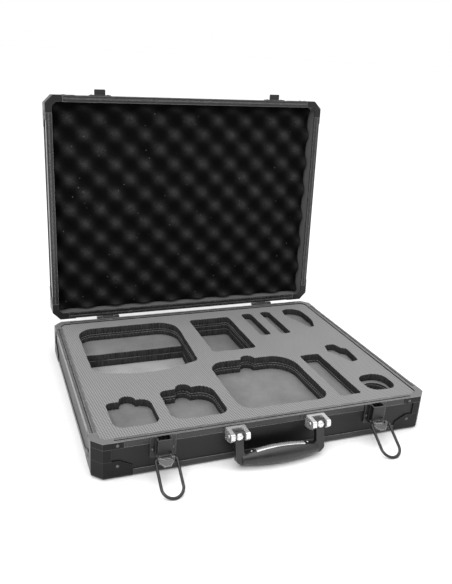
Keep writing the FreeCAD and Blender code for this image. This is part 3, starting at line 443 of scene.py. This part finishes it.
def new_piece(name, mesh, materials, body):
    """A finished piece that rides on a body."""
    piece = bpy.data.objects.new(name, mesh)
    bpy.context.scene.collection.objects.link(piece)
    for material in materials:
        mesh.materials.append(material)
    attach(piece, body)
    return piece


def mesh_from(form, name, place):
    """The finished mesh of a form, with its normals outwards, moved to its place."""
    bmesh.ops.recalc_face_normals(form, faces=form.faces)
    form.transform(place)
    mesh = bpy.data.meshes.new(name)
    form.to_mesh(mesh)
    form.free()
    mesh.shade_smooth()
    return mesh


def join_rings(form, rings):
    """Faces between each closed ring of points and the next."""
    for a, b in zip(rings, rings[1:]):
        for i in range(len(a)):
            k = (i + 1) % len(a)
            form.faces.new([a[i], a[k], b[k], b[i]])


LEVEL_GAP = 0.01 * MM


def level_outlines(node, height, turn=Matrix.Identity(4)):
    """The closed outlines of a turned CAD node's flat faces at this height, the outer one first."""
    mesh = frame["nodes"][node].data
    places = [turn @ v.co for v in mesh.vertices]
    edges = set()
    for face in mesh.polygons:
        if any(abs(places[i].z - height) > LEVEL_GAP for i in face.vertices):
            continue
        ring = [tuple(round(c, 6) for c in places[i][:2]) for i in face.vertices]
        edges.update(zip(ring, ring[1:] + ring[:1]))
    follow = {a: b for a, b in edges if (b, a) not in edges}
    outlines = []
    while follow:
        start, here = follow.popitem()
        outline = [start]
        while here != start:
            outline.append(here)
            here = follow.pop(here)
        outlines.append([Vector(p) for p in outline])
    outlines.sort(key=lambda o: min(p.x for p in o))
    return [anticlockwise(outlines[0])] + [anticlockwise(o)[::-1] for o in outlines[1:]]


def anticlockwise(outline):
    """The same outline, run anticlockwise."""
    area = sum(a.cross(b) for a, b in zip(outline, outline[1:] + outline[:1]))
    return outline if area > 0 else outline[::-1]


def even_steps(outline, step):
    """The same outline with points an even distance apart."""
    ring = outline + outline[:1]
    lengths = [(b - a).length for a, b in zip(ring, ring[1:])]
    count = max(8, round(sum(lengths) / step))
    spacing = sum(lengths) / count
    points = []
    travelled = 0.0
    for a, b, length in zip(ring, ring[1:], lengths):
        while len(points) * spacing < travelled + length - 1e-9 and len(points) < count:
            points.append(a.lerp(b, (len(points) * spacing - travelled) / length))
        travelled += length
    return points


SCALLOP_PITCH = 4.8 * MM
SCALLOP_DEPTH = 0.85 * MM
DRIFT_SCALE = 60
DRIFT_SHARE = 0.6


def scalloped(points, step, seed):
    """Moves an outline in and out a little, as a blade leaves it in soft foam."""
    count = len(points)
    moved = []
    for i, point in enumerate(points):
        run = points[(i + 1) % count] - points[i - 1]
        side = Vector((run.y, -run.x)).normalized()
        wave = abs(math.sin(math.pi * i * step / SCALLOP_PITCH)) - 0.5
        drift = noise.noise(Vector((point.x * DRIFT_SCALE, point.y * DRIFT_SCALE, seed)))
        moved.append(point + side * (SCALLOP_DEPTH * (wave + DRIFT_SHARE * drift)))
    return moved


def slab(name, outlines, low, high, rounding):
    """A flat sheet with the given outlines, its holes included, and softly rounded edges."""
    curve = bpy.data.curves.new(name, "CURVE")
    curve.dimensions = "2D"
    curve.fill_mode = "BOTH"
    curve.extrude = (high - low) / 2 - rounding
    curve.bevel_depth = rounding
    curve.bevel_resolution = 2
    curve.offset = -rounding
    for outline in outlines:
        spline = curve.splines.new("POLY")
        spline.points.add(len(outline) - 1)
        for target, point in zip(spline.points, outline):
            target.co = (point.x, point.y, 0, 1)
        spline.use_cyclic_u = True
    shape = bpy.data.objects.new(name + "_shape", curve)
    bpy.context.scene.collection.objects.link(shape)
    depsgraph = bpy.context.evaluated_depsgraph_get()
    mesh = bpy.data.meshes.new_from_object(shape.evaluated_get(depsgraph))
    bpy.data.objects.remove(shape)
    bpy.data.curves.remove(curve)
    mesh.materials.clear()
    mesh.transform(Matrix.Translation((0, 0, (low + high) / 2)))
    return mesh


def skin_and_sides(mesh):
    """Material 0 on the skin and its rounded rim, material 1 on the cut sides."""
    for face in mesh.polygons:
        face.material_index = 0 if face.normal.z > 0.3 else 1
        face.use_smooth = abs(face.normal.z) < 0.9


# ---------------------------------------------------------------- foam in the base

FOAM_SHEETS = 4
OUTER_STEP = 4 * MM
FOAM_STEP = 0.85 * MM
FOAM_ROUNDING = 0.75 * MM
FOAM_GAP = 0.22 * MM
FELT_ROUNDING = 0.3 * MM
SEED_STEP = 7.3


def foam_levels(node):
    """The heights at which a foam sheet's outline changes, from its underside to its top."""
    mesh = frame["nodes"][node].data
    heights = {round(f.center.z, 5) for f in mesh.polygons if abs(f.normal.z) > 0.99}
    return sorted(heights)


def make_foam_sheet(node, index):
    """One foam sheet, in one slab for each stretch of its height that has its own outline."""
    levels = foam_levels(node)
    for part, (low, high) in enumerate(zip(levels, levels[1:])):
        at = low if part == 0 else high
        rings = level_outlines(node, at)
        outlines = [even_steps(rings[0], OUTER_STEP)]
        for seed, ring in enumerate(rings[1:]):
            points = even_steps(ring, FOAM_STEP)
            outlines.append(scalloped(points, FOAM_STEP, seed + SEED_STEP * index))
        name = f"{node}_cut_{part + 1}"
        mesh = slab(name, outlines, low + FOAM_GAP, high - FOAM_GAP, FOAM_ROUNDING)
        skin_and_sides(mesh)
        skin = FOAM_TOP if node == "foam_layer_1" else FOAM_FLOOR
        piece = new_piece(name, mesh, [skin, FOAM_CUT], "base")
        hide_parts(node)


for index in range(FOAM_SHEETS):
    make_foam_sheet(f"foam_layer_{index + 1}", index)


def make_base_felt():
    """The felt under the foam, seen at the bottom of the deepest pocket."""
    low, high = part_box("base_felt")
    outline = even_steps(level_outlines("base_felt", high[2])[0], OUTER_STEP)
    mesh = slab("base_felt_cloth", [outline], low[2], high[2], FELT_ROUNDING)
    for face in mesh.polygons:
        face.use_smooth = abs(face.normal.z) < 0.9
    piece = new_piece("base_felt_cloth", mesh, [FELT], "base")
    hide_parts("base_felt")


make_base_felt()

# ---------------------------------------------------------------- lid lining and egg-crate foam

HINGE = Vector(LID_HINGE["pos_m"])
OPENING = Matrix.Translation(HINGE) @ Matrix.Rotation(LID_TILT, 4, "X") @ Matrix.Translation(-HINGE)
CLOSING = OPENING.inverted()


def closed_box(node):
    """The corners of a lid node with the lid shut."""
    points = [CLOSING @ v.co for v in frame["nodes"][node].data.vertices]
    low = Vector(min(p[i] for p in points) for i in range(3))
    high = Vector(max(p[i] for p in points) for i in range(3))
    return low, high


PEAK_X = 24.4 * MM
PEAK_Y = 23.6 * MM
CRATE_DEPTH = 14 * MM
CRATE_GRID = 1.6 * MM
CRATE_CORNER = 7.1 * MM
CRATE_MARGIN = 6 * MM
CRATE_FRONT_MARGIN = 14 * MM
CRATE_DROOP = 1.2 * MM
CRATE_CREASE = math.radians(62)
RIDGE_SHARE = 0.6
UNEVEN_SHARE = 0.10
UNEVEN_SCALE = 34
UNEVEN_SEED = 3.1


def crate_height(x, y):
    """How far the egg-crate surface lies below its peaks at a point of the lid."""
    across = math.pi * x / PEAK_X
    along = math.pi * y / PEAK_Y
    wave = RIDGE_SHARE * math.cos(across - along) + (1 - RIDGE_SHARE) * math.cos(across + along)
    uneven = UNEVEN_SHARE * noise.noise(Vector((x * UNEVEN_SCALE, y * UNEVEN_SCALE, UNEVEN_SEED)))
    return CRATE_DEPTH * (0.5 - 0.5 * wave) * (1 + uneven)


def make_lid_foam():
    """The convoluted pad, modelled with the lid shut so that its peaks hang down, then opened."""
    low, high = closed_box("lid_foam")
    columns = math.ceil((high.x - low.x) / CRATE_GRID)
    rows = math.ceil((high.y - low.y) / CRATE_GRID)
    form = bmesh.new()
    near = []
    far = []
    # How deep each point lies; the foam's material paints light on the peaks and shade in the pits from it.
    depth = form.verts.layers.float.new("depth")
    for j in range(rows + 1):
        near.append([])
        far.append([])
        for i in range(columns + 1):
            x = low.x + (high.x - low.x) * i / columns
            y = low.y + (high.y - low.y) * j / rows
            over = max(0.0, abs(x) + abs(y) - (high.x + high.y - CRATE_CORNER))
            x -= math.copysign(over / 2, x)
            y -= math.copysign(over / 2, y)
            from_edge = min(i, columns - i, j, rows - j)
            droop = CRATE_DROOP * max(0.0, 1 - from_edge / 2)
            margin = min(high.x - abs(x), high.y - y, (y - low.y) * CRATE_MARGIN / CRATE_FRONT_MARGIN)
            rise = 1 - min(1.0, margin / CRATE_MARGIN)
            fall = crate_height(x, y)
            fall += (CRATE_DEPTH - fall) * rise * rise
            near[j].append(form.verts.new((x, y, low.z + fall + droop)))
            near[j][i][depth] = fall / CRATE_DEPTH
            far[j].append(form.verts.new((x, y, high.z)))
            far[j][i][depth] = 1.0
    for sheet, flip in ((near, True), (far, False)):
        for row_a, row_b in zip(sheet, sheet[1:]):
            for k in range(columns):
                ring = [row_a[k], row_a[k + 1], row_b[k + 1], row_b[k]]
                form.faces.new(ring[::-1] if flip else ring)
    join_rings(form, [outer_ring(near), outer_ring(far)])
    mesh = mesh_from(form, "lid_egg_crate", OPENING)
    mesh.set_sharp_from_angle(angle=CRATE_CREASE)
    piece = new_piece("lid_egg_crate", mesh, [LID_FOAM], "lid")
    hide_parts("lid_foam")


def outer_ring(rows):
    """The points round the edge of a grid, in order."""
    right = [row[-1] for row in rows[1:]]
    left = [row[0] for row in reversed(rows[1:-1])]
    return rows[0] + right + rows[-1][-2::-1] + left


make_lid_foam()

LINING_ROWS = 12
LINING_STEP = 3 * MM
LINING_THICK = 1 * MM
LIP_DROP = 0.2 * MM
PUCKER_DEPTH = 0.18 * MM


def make_lid_lining():
    """The cloth band round the inside of the lid, with a rolled lip and slight puckers."""
    low, high = closed_box("lid_lining")
    outer = even_steps(level_outlines("lid_lining", high.z, CLOSING)[0], LINING_STEP)
    form = bmesh.new()
    rings = []
    profile = [(0.0, high.z)]
    profile += [(0.0, high.z - (high.z - low.z) * k / LINING_ROWS) for k in range(1, LINING_ROWS)]
    profile += [(0.15, low.z + LIP_DROP), (0.5, low.z), (0.85, low.z + LIP_DROP)]
    profile += [(1.0, high.z - (high.z - low.z) * k / LINING_ROWS) for k in range(LINING_ROWS - 1, -1, -1)]
    count = len(outer)
    for inward, z in profile:
        ring = []
        for i, point in enumerate(outer):
            run = outer[(i + 1) % count] - outer[i - 1]
            side = Vector((-run.y, run.x)).normalized()
            pucker = PUCKER_DEPTH * noise.noise(Vector((point.x * 90, point.y * 90, z * 120)))
            flat = point + side * ((LINING_THICK + pucker) * inward)
            ring.append(form.verts.new((flat.x, flat.y, z)))
        rings.append(ring)
    join_rings(form, rings)
    mesh = mesh_from(form, "lid_lining_cloth", OPENING)
    piece = new_piece("lid_lining_cloth", mesh, [LINING], "lid")
    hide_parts("lid_lining")


make_lid_lining()

# ---------------------------------------------------------------- bright caps on the handle

HANDLE_SWING = next(j for j in frame["joints"] if j["name"] == "handle_swing")
CAP_SIDES = 28
KNURLED_BAND = ((4.9, 3.2), (5.0, 4.6))
DOME = ((4.5, 5.2), (4.4, 5.7), (3.9, 6.6), (2.7, 7.4), (1.2, 7.8), (0.3, 7.85))
KNURL_DEPTH = 0.35
CAP_CREASE = math.radians(30)


def make_hub_cap(side):
    """A knurled, domed cap on the front of one of the handle's hubs.

    Each step of its profile is a radius and a height in front of the hub's middle, in mm.
    """
    low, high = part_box(f"handle_bracket_{side}")
    hub = Vector(((low[0] + high[0]) / 2, *HANDLE_SWING["pos_m"][1:]))
    form = bmesh.new()
    rings = []
    for radius, height in KNURLED_BAND + DOME:
        knurled = (radius, height) in KNURLED_BAND
        ring = []
        for i in range(CAP_SIDES):
            angle = 2 * math.pi * i / CAP_SIDES
            reach = radius - (KNURL_DEPTH if knurled and i % 2 else 0)
            place = Vector((reach * math.cos(angle), -height, reach * math.sin(angle)))
            ring.append(form.verts.new(place * MM))
        rings.append(ring)
    join_rings(form, rings)
    form.faces.new(rings[0])
    form.faces.new(rings[-1])
    mesh = mesh_from(form, f"hub_cap_{side}", Matrix.Translation(hub))
    mesh.set_sharp_from_angle(angle=CAP_CREASE)
    new_piece(f"hub_cap_{side}", mesh, [BRIGHT], "handle")


for side in ("left", "right"):
    make_hub_cap(side)

# ---------------------------------------------------------------- stage, light and camera

FLOOR_SIZE = 40
FLOOR_GAP = 0.2 * MM


def make_floor():
    """A wide pale floor just under the case."""
    form = bmesh.new()
    bmesh.ops.create_grid(form, x_segments=2, y_segments=2, size=FLOOR_SIZE)
    mesh = bpy.data.meshes.new("floor")
    form.to_mesh(mesh)
    form.free()
    mesh.transform(Matrix.Translation((0, 0, -FLOOR_GAP)))
    floor = bpy.data.objects.new("floor", mesh)
    bpy.context.scene.collection.objects.link(floor)
    mesh.materials.append(PAPER)


make_floor()


def area_light(name, place, target, size, power):
    """A soft rectangular lamp at a place, turned towards its target."""
    light = bpy.data.lights.new(name, "AREA")
    light.shape = "RECTANGLE"
    light.size = size[0]
    light.size_y = size[1]
    light.energy = power
    lamp = bpy.data.objects.new(name, light)
    lamp.location = place
    lamp.rotation_euler = (Vector(target) - Vector(place)).to_track_quat("-Z", "Y").to_euler()
    bpy.context.scene.collection.objects.link(lamp)


area_light("key", (-1.3, -1.7, 1.9), (0, 0, 0.15), (0.8, 0.8), 22)
area_light("overhead", (0.1, -0.2, 1.9), (0, 0, 0), (1.8, 1.4), 6)
area_light("fill", (1.6, -1.4, 1.0), (0, 0, 0.1), (1.2, 1.2), 3)

# Each step of the sky is a height, as the Z of the direction, and a brightness.
SKY_BRIGHTEST = 2.1
SKY_STEPS = ((0.0, 1.0), (0.13, 1.0), (0.2, 0.42), (0.6, 0.5), (0.85, SKY_BRIGHTEST))


def make_world():
    """A white studio: bright at the horizon and overhead, and dimmer between."""
    world = bpy.data.worlds.new("studio")
    world.use_nodes = True
    tree = world.node_tree
    background = tree.nodes["Background"]
    background.inputs["Color"].default_value = (1, 1, 1, 1)
    way = add_node(tree, "ShaderNodeTexCoord").outputs["Generated"]
    rise = add_node(tree, "ShaderNodeSeparateXYZ", {"Vector": way}).outputs["Z"]
    ramp = add_node(tree, "ShaderNodeValToRGB", {"Fac": rise})
    stops = ramp.color_ramp.elements
    while len(stops) < len(SKY_STEPS):
        stops.new(1.0)
    for stop, (place, strength) in zip(stops, SKY_STEPS):
        stop.position = place
        stop.color = (strength / SKY_BRIGHTEST,) * 3 + (1,)
    strength = math_node(tree, "MULTIPLY", ramp.outputs["Color"], SKY_BRIGHTEST)
    tree.links.new(strength, background.inputs["Strength"])
    bpy.context.scene.world = world


make_world()
bpy.context.scene.view_settings.view_transform = "Standard"

HEADING = math.radians(20.19)
DOWN = math.radians(20.30)
ROLL = math.radians(3.08)
LENS = 38.95
SHIFT = (0.0459, -0.0154)
EYE = (-0.3341, -0.7806, 0.4771)


def make_camera():
    """The camera looks from the front left, a little down, and leans slightly."""
    data = bpy.data.cameras.new("camera")
    data.lens = LENS
    data.sensor_width = 36
    data.shift_x, data.shift_y = SHIFT
    camera = bpy.data.objects.new("camera", data)
    turn = Matrix.Rotation(-HEADING, 4, "Z") @ Matrix.Rotation(math.pi / 2 - DOWN, 4, "X")
    camera.matrix_world = Matrix.Translation(EYE) @ turn @ Matrix.Rotation(ROLL, 4, "Z")
    bpy.context.scene.collection.objects.link(camera)
    bpy.context.scene.camera = camera


make_camera()
